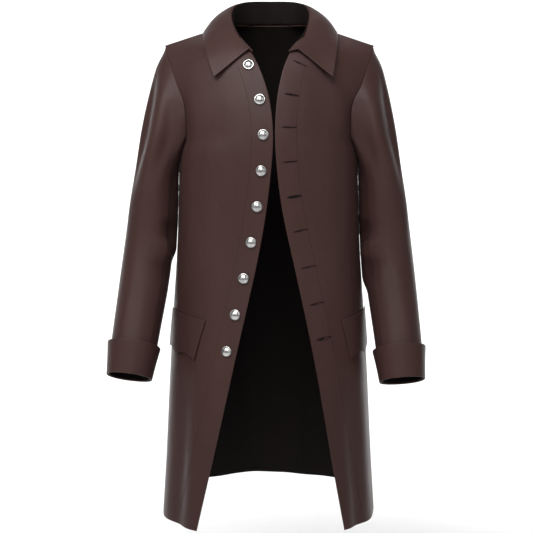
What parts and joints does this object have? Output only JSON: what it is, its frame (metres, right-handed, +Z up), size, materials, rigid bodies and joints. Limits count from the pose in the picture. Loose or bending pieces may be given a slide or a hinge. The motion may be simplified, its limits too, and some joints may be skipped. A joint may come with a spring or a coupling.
{
  "type": "frock coat",
  "caption": "Knee-length frock coat with turned-back cuffs, pocket flaps, a turn-down collar and a row of domed buttons, worn open and filled out.",
  "frame": {"origin": "middle of the neck at the height of the shoulders, where the wearer's shoulders hold the coat up", "axes": "+Z up, +X to the wearer's left, -Y to the wearer's front"},
  "size_m": [0.6368, 0.3743, 1.0538],
  "materials": {
    "coating": "smooth dark brown suiting with a faint sheen",
    "lining": "plain black lining",
    "button_metal": "bright silver-coloured metal"
  },
  "bodies": {
    "root": {"back": "coating", "front_right": "coating", "front_left": "coating", "top_sleeve_right": "coating", "top_sleeve_left": "coating", "under_sleeve_right": "coating", "under_sleeve_left": "coating", "cuff_right": "coating", "cuff_left": "coating", "pocket_flap_right": "coating", "pocket_flap_left": "coating", "collar": "coating", "back_lining": "lining", "collar_lining": "lining", "sleeve_lining_right": "lining", "sleeve_lining_left": "lining", "button_1": "button_metal", "button_2": "button_metal", "button_3": "button_metal", "button_4": "button_metal", "button_5": "button_metal", "button_6": "button_metal", "button_7": "button_metal", "button_8": "button_metal", "button_9": "button_metal"}
  },
  "joints": []
}
